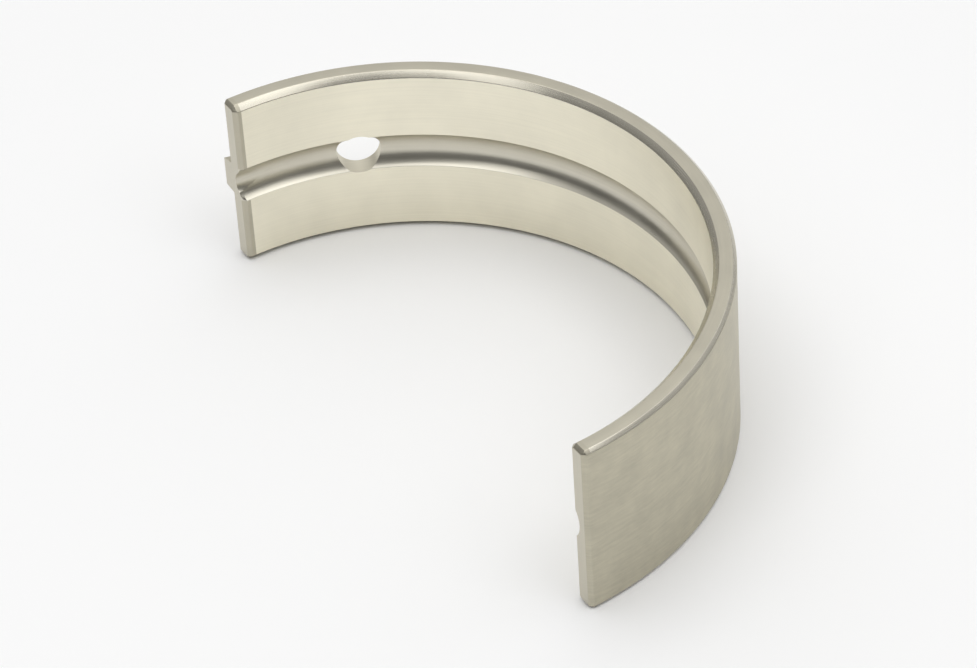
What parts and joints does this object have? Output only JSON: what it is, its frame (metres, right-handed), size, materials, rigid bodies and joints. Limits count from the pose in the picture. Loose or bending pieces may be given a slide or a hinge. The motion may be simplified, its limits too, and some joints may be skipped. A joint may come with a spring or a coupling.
{
  "type": "engine bearing shell",
  "caption": "Half-round plain bearing shell for an engine journal, with a central oil groove, an oil hole and a locating tang.",
  "frame": {"origin": "the bearing's centre: on the journal axis, in the parting plane, halfway along the width", "axes": "+Z along the journal axis, +Y towards the crown of the half ring, +X towards the end without the tang"},
  "size_m": [0.0655, 0.0322, 0.0196],
  "materials": {
    "bearing_metal": "satin"
  },
  "bodies": {
    "root": {"bearing_shell": "bearing_metal"}
  },
  "joints": []
}
